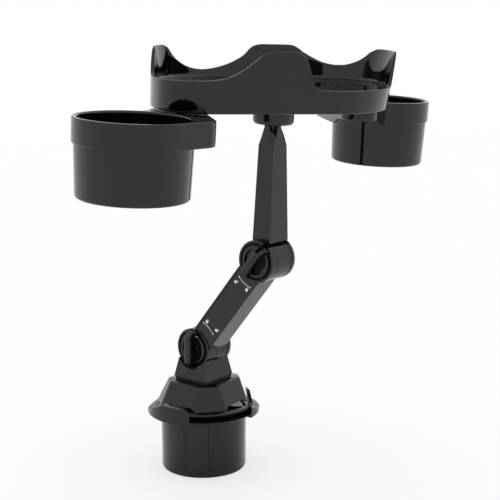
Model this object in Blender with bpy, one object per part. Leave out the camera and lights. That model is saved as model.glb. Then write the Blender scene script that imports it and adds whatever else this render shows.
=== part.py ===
# Expander for a car cup holder: a cup-shaped foot with three spreading pads,
# a two-joint folding arm, a scalloped tray and two swing-out cups.
# Units are metres, +Z is up. The origin is the foot's axis at its underside,
# X runs along the tray's length and -Y is the tray's front.
import math

import bpy
import bmesh
from mathutils import Matrix, Vector

GAP = 0.0003

# Foot
FOOT_R = 0.0360
FOOT_BOTTOM_R = 0.0356
FOOT_H = 0.0510
FOOT_WALL = 0.0026
FOOT_FLOOR = 0.0028
FOOT_FILLET = 0.0020
POST_R = 0.0120
POST_TOP = 0.0540

# Spreading pads
PAD_HEADING = 236.6
PAD_ANGLE = 33.0
PAD_Z0 = 0.0050
PAD_Z1 = 0.0480
PAD_T = 0.0028
PAD_TRAVEL = 0.0060
TONGUE_W = 0.0060
TONGUE_Z0 = 0.0400
TONGUE_Z1 = 0.0475
NOSE_R = 0.0015
NOSE_GAP = 0.0004
DRUM_Z0 = 0.0385
DRUM_R0 = 0.0145
TWIST = math.radians(75.0)
RAMP = math.radians(87.0)

# Twist collar
COLLAR_R = 0.0448
COLLAR_WALL_R0 = 0.0400
COLLAR_WALL_R1 = 0.0420
LIP_Z0 = 0.0499
LIP_Z1 = 0.0535
TOP_LIP_Z0 = 0.0575
TOP_LIP_Z1 = 0.0586
BLOCK_ANGLE = 33.0
BLOCK_HEADING = 219.5
BLOCK_R = 0.0473
BLOCK_Z0 = 0.0487
BLOCK_Z1 = 0.0625
GROOVE_HEADING = 275.5
GROOVE_ANGLE = 79.0
TAB_HEADING = 350.0
TAB_ANGLE = 10.0
TAB_R0 = 0.0390
TAB_R1 = 0.0428
TAB_Z1 = 0.0700
WING_R = 0.0476
WING_Z0 = 0.0490
WING_Z1 = 0.0570
WINGS = ((183.5, 39.5), (328.5, 27.0))

# Octagonal skirt
SKIRT_Z0 = 0.0572
SKIRT_Z1 = 0.0765
SKIRT_HALF0 = 0.0345
SKIRT_CUT0 = 0.0180
SKIRT_HALF1 = 0.0250
SKIRT_CUT1 = 0.0100
SKIRT_WALL = 0.0025
SKIRT_HEADING = -58.9
TUBE_R = 0.0120
TUBE_BORE = 0.0095
PIN_Z = 0.0680
PIN_R = 0.0015

# Arm
ARM_HEADING = -63.9
MOUNT_Z0 = SKIRT_Z1 + GAP
MOUNT_HALF0 = 0.0174
MOUNT_BAND = 0.0021
MOUNT_INSET = 0.0007
MOUNT_HALF1 = 0.0129
MOUNT_Z1 = 0.1030
SPIGOT_R = TUBE_BORE - GAP
LOWER_Z = 0.1045
LINK_LEN = 0.1053
LINK_LEAN = 39.03
ARM_LEN = 0.1074
ARM_LEAN = 3.57
BARREL_R = 0.0170
BARREL_Y0 = -0.0130
BARREL_Y1 = 0.0110
LINK_LEFT = -0.0098
LINK_RIGHT = 0.0125
LINK_Y0 = -0.0123
LINK_Y1 = 0.0095
LOWER_SLOT = (-0.0030, 0.0058)
UPPER_SLOT = (-0.0079, 0.0088)

# Hinge hardware, the same at both joints
BOLT_R = 0.0030
RECESS_R = BARREL_R - 0.0018
RECESS_D = 0.0025
KNOB_R = RECESS_R - 0.0006
KNOB_Y = -0.0142
BAR_Y = -0.0210
BAR_W = 0.0078
BAR_L = 2 * KNOB_R + 0.0028
CAP_Y1 = 0.0172
CAP_WALL = 0.0030
CAP_FACE = 0.0010
NUT_AF = 0.0100
WASHER_R = 0.0070

# Upper arm column
COL_W0 = 0.0174
COL_W1 = 0.0152
COL_F0 = -0.0078
COL_F1 = -0.0072
COL_B0 = 0.0132
COL_B1 = 0.0058
COL_TOP = 0.0095
COL_VEE = 0.0165
COL_END = 0.0032
NECK_W = 0.0095
NECK_R = 0.0045
NECK_TOP = 0.0095

# Hub between neck and tray, heights above the arm's end
HUB_R = 0.0160
HUB_Z0 = -0.0002
HUB_Z1 = 0.01356
RIM_Z = 0.01356

# Tray, heights above its lower edge
TRAY_Z = RIM_Z + GAP
TRAY_A = 0.1035
TRAY_B = 0.0566
TRAY_SHIFT = -0.0014
TRAY_SMALL_R = 0.0332
TRAY_BIG_R = 2 * TRAY_B - TRAY_SMALL_R
TRAY_WALL = 0.0026
TRAY_STEP = 0.0060
DECK_TOP = 0.0170
DECK_T = 0.0025
FLARE_MID = 3.8
FLARE_SWING = 3.2
LOW_LEFT = 0.0225
LOW_FRONT = 0.0175
LOW_RIGHT = 0.0288
LOW_BACK = 0.0230
POST_H = 0.0442
POST_H_LEFT = 0.0425
# Each post's place along the rim: foot of its first flank, start and end of
# its top, foot of its second flank. The rim starts at the left end.
FRONT_POST = (0.054, 0.094, 0.111, 0.132)
RIGHT_POST = (0.228, 0.238, 0.2766, 0.3064)
BACK_POST = (0.317, 0.3536, 0.3766, 0.4266)
LEFT_POST = (0.4387, 0.4838, 0.497, 0.525)

# Swing-out cups. Places are along the tray and towards its front.
CUP_A = 0.1370
CUP_B = 0.0662
PIVOT_A = 0.0826
PIVOT_B = -0.0105
CORNER_A = 0.0993
CORNER_B = 0.0812
CORNER_R = 0.0140
PIVOT_R = 0.0150
RING_R = 0.04217
BAND_H = 0.0177
CUP_DEPTH = 0.0549
CUP_TOP_R = RING_R - 0.0015
CUP_BOTTOM_R = RING_R - 0.0036
CUP_ROOT_R = 0.0120
CUP_WALL = 0.0020
CUP_FLOOR = 0.0025
ARM_SKIN = 0.0026

SEG = 44


def clear_scene():
    for ob in list(bpy.data.objects):
        bpy.data.objects.remove(ob, do_unlink=True)


def plastic(name, grey, rough=0.18):
    mat = bpy.data.materials.new(name)
    mat.use_nodes = True
    bsdf = mat.node_tree.nodes["Principled BSDF"]
    bsdf.inputs["Base Color"].default_value = (grey, grey, grey, 1.0)
    bsdf.inputs["Roughness"].default_value = rough
    bsdf.inputs["Metallic"].default_value = 0.0
    return mat


def steel(name):
    mat = bpy.data.materials.new(name)
    mat.use_nodes = True
    bsdf = mat.node_tree.nodes["Principled BSDF"]
    bsdf.inputs["Base Color"].default_value = (0.55, 0.55, 0.56, 1.0)
    bsdf.inputs["Roughness"].default_value = 0.3
    bsdf.inputs["Metallic"].default_value = 1.0
    return mat


def to_object(name, bm, material=None):
    bmesh.ops.remove_doubles(bm, verts=bm.verts, dist=1e-7)
    bmesh.ops.recalc_face_normals(bm, faces=bm.faces)
    mesh = bpy.data.meshes.new(name)
    bm.to_mesh(mesh)
    bm.free()
    mesh.shade_smooth()
    mesh.set_sharp_from_angle(angle=math.radians(30))
    ob = bpy.data.objects.new(name, mesh)
    bpy.context.scene.collection.objects.link(ob)
    if material:
        mesh.materials.append(material)
    return ob


def turned(profile, seg=SEG, centre=(0.0, 0.0)):
    """A closed (radius, height) outline turned about Z. Radius 0 is a pole."""
    bm = bmesh.new()
    cx, cy = centre
    rings = []
    for r, z in profile:
        if r < 1e-9:
            rings.append([bm.verts.new((cx, cy, z))])
            continue
        ring = []
        for k in range(seg):
            t = 2 * math.pi * k / seg
            ring.append(bm.verts.new((cx + r * math.cos(t), cy + r * math.sin(t), z)))
        rings.append(ring)
    for i, a in enumerate(rings):
        b = rings[(i + 1) % len(rings)]
        if len(a) == 1 and len(b) == 1:
            continue
        for k in range(seg):
            j = (k + 1) % seg
            if len(a) == 1:
                bm.faces.new((a[0], b[k], b[j]))
            elif len(b) == 1:
                bm.faces.new((a[k], a[j], b[0]))
            else:
                bm.faces.new((a[k], a[j], b[j], b[k]))
    return bm


def loft(rings):
    """A body through rings of equal length, with its two ends closed."""
    bm = bmesh.new()
    rows = [[bm.verts.new(p) for p in ring] for ring in rings]
    n = len(rows[0])
    for a, b in zip(rows, rows[1:]):
        for k in range(n):
            j = (k + 1) % n
            bm.faces.new((a[k], a[j], b[j], b[k]))
    bm.faces.new(rows[0])
    bm.faces.new(rows[-1])
    return bm


def prism(outline, z0, z1):
    return loft([[(x, y, z) for x, y in outline] for z in (z0, z1)])


def block(x0, x1, y0, y1, z0, z1):
    return prism([(x0, y0), (x1, y0), (x1, y1), (x0, y1)], z0, z1)


def rod(r, z0, z1, seg=24, centre=(0.0, 0.0)):
    return prism(disc_points(centre, r, seg), z0, z1)


def sector(r0, r1, mid, width, z0, z1, steps=10):
    """A piece of ring between two radii, its middle at a heading in degrees."""
    angles = [math.radians(mid + width * (k / steps - 0.5)) for k in range(steps + 1)]
    outline = [(r1 * math.cos(t), r1 * math.sin(t)) for t in angles]
    outline += [(r0 * math.cos(t), r0 * math.sin(t)) for t in reversed(angles)]
    return prism(outline, z0, z1)


def move(bm, matrix):
    bmesh.ops.transform(bm, matrix=matrix, verts=bm.verts)
    return bm


def across(bm):
    """Turns a body built along Z so that Z becomes +Y, along the hinge axis."""
    return move(bm, Matrix.Rotation(math.radians(-90), 4, 'X'))


def tidy(mesh):
    """Joins the near-equal points that a Boolean leaves."""
    bm = bmesh.new()
    bm.from_mesh(mesh)
    bmesh.ops.remove_doubles(bm, verts=bm.verts, dist=0.000004)
    bmesh.ops.dissolve_degenerate(bm, edges=bm.edges, dist=0.000002)
    bm.to_mesh(mesh)
    bm.free()


def join(ob, bm, how):
    """Applies one Boolean to an object: UNION or DIFFERENCE with the body."""
    tool = to_object("tool", bm)
    tool.matrix_world = ob.matrix_world
    tool.hide_render = True
    tool.display_type = 'WIRE'
    mod = ob.modifiers.new("cut", 'BOOLEAN')
    mod.operation = how
    mod.object = tool
    mod.solver = 'EXACT'
    graph = bpy.context.evaluated_depsgraph_get()
    mesh = bpy.data.meshes.new_from_object(ob.evaluated_get(graph))
    ob.modifiers.clear()
    tidy(mesh)
    old = ob.data
    name = old.name
    ob.data = mesh
    bpy.data.meshes.remove(old)
    mesh.name = name
    bpy.data.objects.remove(tool, do_unlink=True)
    return ob


def add(ob, bm):
    return join(ob, bm, 'UNION')


def cut(ob, bm):
    return join(ob, bm, 'DIFFERENCE')


def hull(points):
    """Outline of the smallest convex shape round some plan points."""
    pts = sorted(set((round(x, 7), round(y, 7)) for x, y in points))

    def half(seq):
        out = []
        for p in seq:
            while len(out) > 1:
                (ax, ay), (bx, by) = out[-2], out[-1]
                if (bx - ax) * (p[1] - ay) - (by - ay) * (p[0] - ax) > 1e-12:
                    break
                out.pop()
            out.append(p)
        return out[:-1]

    return half(pts) + half(reversed(pts))


def disc_points(centre, r, seg=64):
    x, y = centre
    return [(x + r * math.cos(2 * math.pi * k / seg), y + r * math.sin(2 * math.pi * k / seg))
            for k in range(seg)]


def square(half, cut_off=0.0):
    """A square outline, with its corners cut off where that is asked."""
    if cut_off == 0.0:
        return [(half, -half), (half, half), (-half, half), (-half, -half)]
    near = half - cut_off
    return [(half, -near), (half, near), (near, half), (-near, half),
            (-half, near), (-half, -near), (-near, -half), (near, -half)]


def at_height(outline, z):
    return [(x, y, z) for x, y in outline]


def arm_frame():
    """X along the arm's lean, Y along the hinge axes to the back."""
    return Matrix.Rotation(math.radians(ARM_HEADING), 4, 'Z')


def skirt_frame():
    return Matrix.Rotation(math.radians(SKIRT_HEADING), 4, 'Z')


def hinge_frame(which):
    """The arm frame moved to a hinge."""
    lean = math.radians(LINK_LEAN)
    place = Vector((0, 0, LOWER_Z))
    if which == "upper":
        place += LINK_LEN * Vector((math.sin(lean), 0, math.cos(lean)))
    return arm_frame() @ Matrix.Translation(place)


def tray_frame():
    """At the arm's end, Z along the arm, X along the tray."""
    lean = Matrix.Rotation(math.radians(ARM_LEAN), 4, 'Y')
    end = hinge_frame("upper") @ lean @ Matrix.Translation((0, 0, ARM_LEN))
    return end @ Matrix.Rotation(math.radians(-ARM_HEADING), 4, 'Z')


def make_foot(black):
    r0 = FOOT_BOTTOM_R
    rise = FOOT_FILLET
    inner = FOOT_R - FOOT_WALL
    profile = [(0, 0), (r0 - rise, 0), (r0 - 0.3 * rise, 0.3 * rise), (r0, rise), (FOOT_R, FOOT_H)]
    profile += [(inner, FOOT_H), (r0 - FOOT_WALL, FOOT_FLOOR), (POST_R, FOOT_FLOOR)]
    profile += [(POST_R, POST_TOP), (0.0023, POST_TOP), (0.0023, 0.020), (0, 0.020)]
    foot = to_object("base_cup", turned(profile, 60), black)
    for k in range(3):
        mid = PAD_HEADING + 120 * k
        width = PAD_ANGLE + 2 * math.degrees(GAP / FOOT_R)
        cut(foot, sector(0.030, 0.040, mid, width, PAD_Z0 - GAP, PAD_Z1 + GAP))
    for k in range(3):
        make_pad("expansion_pad_" + "abc"[k], PAD_HEADING + 120 * k, black)


def make_pad(name, mid, black):
    """A curved plate in a window of the foot, with a tongue to the cam."""
    outer = FOOT_BOTTOM_R + 0.0002
    pad = to_object(name, sector(outer - PAD_T, outer, 0, PAD_ANGLE, PAD_Z0, PAD_Z1, 12), black)
    half = TONGUE_W / 2
    nose = DRUM_R0 + NOSE_GAP + NOSE_R
    outline = [(nose + 0.0040, -half), (outer - 0.5 * PAD_T, -half)]
    outline += [(outer - 0.5 * PAD_T, half), (nose + 0.0040, half)]
    for k in range(7):
        t = math.radians(90 + 180 * k / 6)
        outline.append((nose + NOSE_R * math.cos(t), NOSE_R * math.sin(t)))
    add(pad, prism(outline, TONGUE_Z0, TONGUE_Z1))
    pad.matrix_world = Matrix.Rotation(math.radians(mid), 4, 'Z')


def make_collar(black):
    r0, r1 = COLLAR_WALL_R0, COLLAR_WALL_R1
    web = LIP_Z0 + 0.0011
    bore = POST_R + 0.0004
    under = FOOT_R + 0.0020
    profile = [(bore, web), (under, web), (under, LIP_Z0), (COLLAR_R, LIP_Z0)]
    profile += [(COLLAR_R, TOP_LIP_Z1), (r0, TOP_LIP_Z1), (r0, LIP_Z1), (bore, LIP_Z1)]
    collar = to_object("twist_collar", turned(profile, 60), black)
    groove = sector(r1, COLLAR_R + 0.005, GROOVE_HEADING, GROOVE_ANGLE, LIP_Z1, TOP_LIP_Z0, 14)
    cut(collar, groove)
    add(collar, sector(r0 + 0.0004, BLOCK_R, BLOCK_HEADING, BLOCK_ANGLE, BLOCK_Z0, BLOCK_Z1))
    for heading, angle in WINGS:
        add(collar, sector(r0 + 0.0004, WING_R, heading, angle, WING_Z0, WING_Z1))
    add(collar, sector(TAB_R0, TAB_R1, TAB_HEADING, TAB_ANGLE, LIP_Z1, TAB_Z1, 4))


def make_drum(black):
    """Three equal ramps round the drum. Each pushes one pad out as it turns."""
    climb = PAD_TRAVEL / TWIST
    steps = 12
    outline = []
    for lobe in range(3):
        start = math.radians(PAD_HEADING - 120 * lobe)
        for k in range(steps + 1):
            t = RAMP * k / steps
            r = DRUM_R0 + climb * t
            outline.append((r * math.cos(start - t), r * math.sin(start - t)))
        foot = start - math.radians(112)
        outline.append((DRUM_R0 * math.cos(foot), DRUM_R0 * math.sin(foot)))
    top = LIP_Z0 + 0.0011 - GAP
    drum = to_object("cam_drum", prism(outline, DRUM_Z0, top), black)
    cut(drum, rod(POST_R + 0.0004, DRUM_Z0 - 0.01, top + 0.01, 40))


def make_skirt(black):
    slope = (SKIRT_HALF0 - SKIRT_HALF1) / (SKIRT_Z1 - SKIRT_Z0)
    plate = SKIRT_Z1 - SKIRT_WALL
    inner = SKIRT_HALF1 - SKIRT_WALL + slope * SKIRT_WALL
    rings = [at_height(square(SKIRT_HALF0 - SKIRT_WALL, SKIRT_CUT0 - 0.001), SKIRT_Z0)]
    rings = [at_height(square(inner, SKIRT_CUT1), plate)] + rings
    rings += [at_height(square(SKIRT_HALF0, SKIRT_CUT0), SKIRT_Z0)]
    rings += [at_height(square(SKIRT_HALF1, SKIRT_CUT1), SKIRT_Z1)]
    skirt = to_object("base_skirt", loft(rings), black)
    floor = POST_TOP + GAP
    add(skirt, rod(TUBE_R, floor, SKIRT_Z1 - 0.001, 40))
    cut(skirt, rod(TUBE_BORE, floor + 0.003, SKIRT_Z1 + 0.01, 40))
    cut(skirt, rod(0.0023, floor - 0.01, floor + 0.01, 24))
    pin = across(rod(PIN_R + GAP, SPIGOT_R - 0.0052, 2 * TUBE_R, 24))
    cut(skirt, move(pin, Matrix.Translation((0, 0, PIN_Z))))
    skirt.matrix_world = skirt_frame()


def make_mount(black):
    low = MOUNT_Z0 + MOUNT_BAND
    neck = square(MOUNT_HALF0 - MOUNT_INSET)
    rings = [at_height(neck, MOUNT_Z0), at_height(neck, low)]
    rings += [at_height(square(MOUNT_HALF0), low + 0.0003), at_height(square(MOUNT_HALF1), MOUNT_Z1)]
    mount = to_object("pyramid_mount", loft(rings), black)
    add(mount, rod(SPIGOT_R, 0.0620, MOUNT_Z0 + 0.002, 40))
    r0, r1 = SPIGOT_R - 0.0016, SPIGOT_R + 0.0020
    z0, z1 = PIN_Z - PIN_R - 0.0010, PIN_Z + PIN_R + 0.0010
    groove = [(r0, z0), (r1, z0), (r1, z1), (r0, z1)]
    cut(mount, turned(groove, 40))
    barrel = across(rod(BARREL_R, BARREL_Y0, BARREL_Y1, SEG))
    for y0, y1 in ((BARREL_Y1, 3 * BARREL_R), (-3 * BARREL_R, BARREL_Y0)):
        room = across(rod(BARREL_R + GAP, y0, y1, SEG))
        cut(mount, move(room, Matrix.Translation((0, 0, LOWER_Z))))
    add(mount, move(barrel, Matrix.Translation((0, 0, LOWER_Z))))
    hinge_cuts(mount, LOWER_Z, LOWER_SLOT)
    mount.matrix_world = arm_frame()


def hinge_cuts(ob, z, slot):
    """Slot for the tongue, bore for the bolt and recess for the knob."""
    lift = Matrix.Translation((0, 0, z))
    cut(ob, move(across(rod(BARREL_R + 0.0004, slot[0], slot[1], SEG)), lift))
    cut(ob, move(across(rod(BOLT_R + GAP, -0.05, 0.05, 24)), lift))
    cut(ob, move(across(rod(RECESS_R, BARREL_Y0 - 0.01, BARREL_Y0 + RECESS_D, SEG)), lift))


def make_hardware(prefix, lean, black, metal):
    """Knob, bolt, washer, nut and end cap of one hinge, built about its axis."""
    place = hinge_frame(prefix) @ Matrix.Rotation(math.radians(lean), 4, 'Y')
    disc0 = BARREL_Y0 + RECESS_D - GAP
    knob = to_object(prefix + "_knob", across(rod(KNOB_R, KNOB_Y, disc0, SEG)), black)
    half, end = BAR_L / 2, BAR_L / 2 - 0.005
    ring = [(-BAR_W / 2, z) for z in (-end, end)]
    side = [(KNOB_Y + 0.0005, -half), (BAR_Y, -end), (BAR_Y, end), (KNOB_Y + 0.0005, half)]
    bar = loft([[(x, y, z) for y, z in side] for x in (ring[0][0], -ring[0][0])])
    add(knob, bar)
    cut(knob, across(rod(BOLT_R + GAP, BAR_Y + 0.002, 0.02, 24)))
    knob.matrix_world = place

    bolt = to_object(prefix + "_bolt", across(rod(BOLT_R, BAR_Y + 0.0023, 0.0158, 24)), metal)
    bolt.matrix_world = place

    y = BARREL_Y1 + GAP
    washer = turned([(BOLT_R + GAP, y), (WASHER_R, y), (WASHER_R, y + 0.0012), (BOLT_R + GAP, y + 0.0012)], 24)
    to_object(prefix + "_washer", across(washer), metal).matrix_world = place

    y += 0.0015
    r = NUT_AF / math.sqrt(3)
    nut = to_object(prefix + "_nut", across(prism(disc_points((0, 0), r, 6), y, y + 0.0028)), metal)
    cut(nut, across(rod(BOLT_R + GAP, -0.05, 0.05, 24)))
    nut.matrix_world = place

    y0 = BARREL_Y1 + GAP
    inner = CAP_Y1 - CAP_FACE
    bore = BARREL_R - CAP_WALL
    profile = [(0, inner), (bore, inner), (bore, y0), (BARREL_R, y0), (BARREL_R, CAP_Y1 - 0.0010)]
    profile += [(BARREL_R - 0.0003, CAP_Y1 - 0.0003), (BARREL_R - 0.0010, CAP_Y1), (0, CAP_Y1)]
    to_object(prefix + "_cap", across(turned(profile)), black).matrix_world = place


def make_link(black):
    """Square link: a tongue at its lower end and a slotted barrel above."""
    link = to_object("lower_link", block(LINK_LEFT, LINK_RIGHT, LINK_Y0, LINK_Y1, 0, LINK_LEN), black)
    top = Matrix.Translation((0, 0, LINK_LEN))
    cut(link, across(rod(BARREL_R + 0.0004, -0.05, 0.05, SEG)))
    add(link, across(rod(BARREL_R, LOWER_SLOT[0] + GAP, LOWER_SLOT[1] - GAP, SEG)))
    low, high = BARREL_R - 0.007, BARREL_R + 0.005
    y0, y1 = LOWER_SLOT[0] + GAP, LOWER_SLOT[1] - GAP
    neck = block(LINK_LEFT + 0.0008, LINK_RIGHT - 0.0025, y0, y1, low, high)
    add(link, neck)
    cut(link, across(rod(BOLT_R + GAP, -0.05, 0.05, 24)))
    add(link, move(across(rod(BARREL_R, BARREL_Y0, BARREL_Y1, SEG)), top))
    hinge_cuts(link, LINK_LEN, UPPER_SLOT)
    link.matrix_world = hinge_frame("lower") @ Matrix.Rotation(math.radians(LINK_LEAN), 4, 'Y')


def column_ring(w, front, back, z, c):
    """A rectangle with its corners cut by c, so that its edges can fade to a V."""
    x = w / 2
    return [(x - c, front, z), (x, front + c, z), (x, back - c, z), (x - c, back, z),
            (c - x, back, z), (-x, back - c, z), (-x, front + c, z), (c - x, front, z)]


def make_upper_arm(black):
    rings = [column_ring(COL_W0, COL_F0, COL_B0, 0.004, 0.0002)]
    vee = (COL_VEE - COL_TOP) / (ARM_LEN - COL_TOP)
    w = COL_W1 + vee * (COL_W0 - COL_W1)
    back = COL_B1 + vee * (COL_B0 - COL_B1)
    rings += [column_ring(w, COL_F1, back, ARM_LEN - COL_VEE, 0.0002)]
    rings += [column_ring(COL_W1, COL_F1, COL_B1, ARM_LEN - COL_TOP, 0.0030)]
    half = NECK_W / 2
    rings += [column_ring(NECK_W, -half, half, ARM_LEN - COL_END, half - 0.0012)]
    arm = to_object("upper_arm", loft(rings), black)
    cut(arm, across(rod(BARREL_R + 0.0004, -0.05, 0.05, SEG)))
    add(arm, across(rod(BARREL_R, UPPER_SLOT[0] + GAP, UPPER_SLOT[1] - GAP, SEG)))
    y0, y1 = UPPER_SLOT[0] + 2 * GAP, UPPER_SLOT[1] - 2 * GAP
    half = COL_W0 / 2 - 0.0007
    add(arm, block(-half, half, y0, y1, BARREL_R - 0.005, BARREL_R + 0.005))
    cut(arm, across(rod(BOLT_R + GAP, -0.05, 0.05, 24)))
    add(arm, rod(NECK_R, ARM_LEN - COL_END - 0.001, ARM_LEN + NECK_TOP, 24))
    cut(arm, rod(0.0023, ARM_LEN - 0.004, ARM_LEN + 0.03, 24))
    arm.matrix_world = hinge_frame("upper") @ Matrix.Rotation(math.radians(ARM_LEAN), 4, 'Y')


def make_hub(black):
    socket = NECK_R + GAP
    top = NECK_TOP + GAP
    profile = [(socket, HUB_Z0), (HUB_R - 0.0034, HUB_Z0), (HUB_R - 0.0013, HUB_Z0 + 0.0007)]
    profile += [(HUB_R - 0.0003, HUB_Z0 + 0.0022), (HUB_R, HUB_Z0 + 0.0036), (HUB_R, HUB_Z1)]
    profile += [(0.0023, HUB_Z1), (0.0023, top), (socket, top)]
    to_object("swivel_hub", turned(profile, 36), black).matrix_world = tray_frame()


def tray_stations():
    """Points round the tray's lower edge from its left end, by the front.

    Four arcs, a small and a big one by turns, join two straight sides.
    Each entry is (a, b, out_a, out_b, s): place, outward direction and the
    distance along the edge.
    """
    small, big, a, b = TRAY_SMALL_R, TRAY_BIG_R, TRAY_A, TRAY_B
    corners = [(-a + small, b - small, small, 180), (a - big, b - big, big, 90),
               (a - small, -b + small, small, 0), (-a + big, -b + big, big, -90)]
    out = []
    s = 0.0
    last = None
    for ca, cb, r, start in corners:
        steps = int(round(r * math.pi / 2 / TRAY_STEP))
        for k in range(steps + 1):
            t = math.radians(start - 90.0 * k / steps)
            p = (ca + r * math.cos(t), cb + r * math.sin(t))
            if last:
                d = math.hypot(p[0] - last[0], p[1] - last[1])
                if d < 1e-6:
                    continue
                pieces = max(1, int(round(d / TRAY_STEP)))
                for j in range(1, pieces):
                    f = j / pieces
                    out.append((last[0] + f * (p[0] - last[0]), last[1] + f * (p[1] - last[1]),
                                math.cos(t), math.sin(t), s + f * d))
                s += d
            out.append((p[0], p[1], math.cos(t), math.sin(t), s))
            last = p
    return out[:-1]


def ease(t):
    t = min(1.0, max(0.0, t))
    return t * t * (3 - 2 * t)


def rim_height(s):
    """Height of the rim along the edge: four posts with eased flanks."""
    spans = [(LOW_LEFT, FRONT_POST, POST_H, LOW_FRONT), (LOW_FRONT, RIGHT_POST, POST_H, LOW_RIGHT),
             (LOW_RIGHT, BACK_POST, POST_H, LOW_BACK), (LOW_BACK, LEFT_POST, POST_H_LEFT, LOW_LEFT)]
    for before, (s0, s1, s2, s3), top, after in spans:
        if s < s0:
            return before
        if s < s3:
            up = before + (top - before) * ease((s - s0) / (s1 - s0))
            down = after + (top - after) * ease((s3 - s) / (s3 - s2))
            return up if s < s2 else down
    return LOW_LEFT


def flare(a):
    return math.tan(math.radians(FLARE_MID + FLARE_SWING * ease(0.5 + 0.5 * a / TRAY_A) * 2 - FLARE_SWING))


def make_tray(black):
    stations = tray_stations()

    def ring(height, inset):
        out = []
        for a, b, na, nb, s in stations:
            h = rim_height(s)
            z = height(h)
            push = flare(a) * z - inset
            out.append((a + TRAY_SHIFT + na * push, -(b + nb * push), z))
        return out

    w = TRAY_WALL
    under = DECK_TOP - DECK_T
    rings = [ring(lambda h: under, w), ring(lambda h: 0.0, w), ring(lambda h: 0.0, 0.0008)]
    rings += [ring(lambda h: 0.0008, 0.0), ring(lambda h: h - 0.0011, 0.0)]
    rings += [ring(lambda h: h - 0.0003, 0.0003), ring(lambda h: h, 0.0011)]
    rings += [ring(lambda h: h, w - 0.0006), ring(lambda h: h - 0.0003, w)]
    rings += [ring(lambda h: DECK_TOP, w)]
    tray = to_object("tray", loft(rings), black)
    add(tray, rod(0.0110, 0.0, DECK_TOP - 0.001, 40))
    cut(tray, rod(0.0024, -0.01, 0.03, 24))
    cut(tray, rod(0.0062, 0.0080, 0.03, 40))
    for side in (-1, 1):
        centre = (side * PIVOT_A, -side * PIVOT_B)
        add(tray, rod(0.0080, 0.0, DECK_TOP - 0.001, 40, centre))
        cut(tray, rod(0.0020, -0.01, 0.0120, 24, centre))
    tray.matrix_world = tray_frame() @ Matrix.Translation((0, 0, TRAY_Z))


def make_tray_screw(metal):
    place = tray_frame() @ Matrix.Translation((0, 0, TRAY_Z))
    seat = 0.0080
    low = -0.0120
    profile = [(0, low), (0.0020, low), (0.0020, seat + 0.0015), (0.0045, seat + 0.0015)]
    profile += [(0.0045, seat + 0.0042), (0, seat + 0.0042)]
    screw = to_object("tray_screw", turned(profile, 24), metal)
    cut(screw, prism(disc_points((0, 0), 0.0022, 6), seat + 0.0025, seat + 0.01))
    screw.matrix_world = place
    ring = turned([(0.0024, seat + GAP), (0.0058, seat + GAP), (0.0058, seat + 0.0012), (0.0024, seat + 0.0012)], 24)
    to_object("tray_washer", ring, metal).matrix_world = place


def make_cup(side, black, metal):
    """One swing-out cup with its boxed arm. The origin is on its pivot."""
    name = "left" if side < 0 else "right"
    pivot = Vector((side * PIVOT_A, -side * PIVOT_B, 0))

    def plan(a, b):
        return (side * a - pivot.x, side * b - pivot.y)

    cup = plan(CUP_A, CUP_B)
    corner = plan(CORNER_A, CORNER_B)
    zero = (0.0, 0.0)
    ends = [(corner, CORNER_R), (zero, PIVOT_R)]

    def arm_outline(t):
        out = disc_points(cup, CUP_ROOT_R - t, 36)
        for place, radius in ends:
            out += disc_points(place, radius - t, 36)
        return hull(out)

    outline = hull(disc_points(cup, RING_R, SEG) + disc_points(corner, CORNER_R, 36))
    body = to_object(name + "_cup_holder", prism(outline, -BAND_H, 0.0), black)
    add(body, prism(arm_outline(0.0), -BAND_H, 0.0))
    t = ARM_SKIN
    pocket = arm_outline(t)
    hollow = to_object("hollow", prism(pocket, -BAND_H - 0.01, -0.0030))
    cut(hollow, rod(RING_R, -0.05, 0.05, SEG, cup))
    bm = bmesh.new()
    bm.from_mesh(hollow.data)
    bpy.data.objects.remove(hollow, do_unlink=True)
    cut(body, bm)
    h, r1, r0 = CUP_DEPTH, CUP_TOP_R, CUP_BOTTOM_R
    add(body, turned([(0, -h), (r0 - 0.0020, -h), (r0 - 0.0006, -h + 0.0006), (r0, -h + 0.0020),
                      (r1, -BAND_H + 0.0001), (r1, -0.0040), (0, -0.0040)], SEG, cup))
    w = CUP_WALL
    cut(body, turned([(0, -h + CUP_FLOOR), (r0 - w - 0.0015, -h + CUP_FLOOR),
                      (r0 - w, -h + CUP_FLOOR + 0.0015), (r1 - w, -BAND_H), (r1 - w + 0.0005, -0.0010),
                      (r1 - w + 0.0012, 0.0), (r1 - w + 0.0012, 0.01), (0, 0.01)], SEG, cup))
    cut(body, rod(0.0024, -0.05, 0.05, 24))
    place = tray_frame() @ Matrix.Translation((pivot.x, pivot.y, RIM_Z))
    body.matrix_world = place

    seat = -0.0030
    ring = turned([(0.0024, seat - 0.0015), (0.0060, seat - 0.0015), (0.0060, seat - GAP), (0.0024, seat - GAP)], 24)
    to_object(name + "_pivot_washer", ring, metal).matrix_world = place
    head = seat - 0.0018
    profile = [(0, head - 0.0030), (0.0045, head - 0.0030), (0.0045, head), (0.0017, head)]
    profile += [(0.0017, 0.0110), (0, 0.0110)]
    screw = to_object(name + "_pivot_screw", turned(profile, 24), metal)
    cut(screw, prism(disc_points((0, 0), 0.0022, 6), head - 0.01, head - 0.0015))
    screw.matrix_world = place


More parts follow.
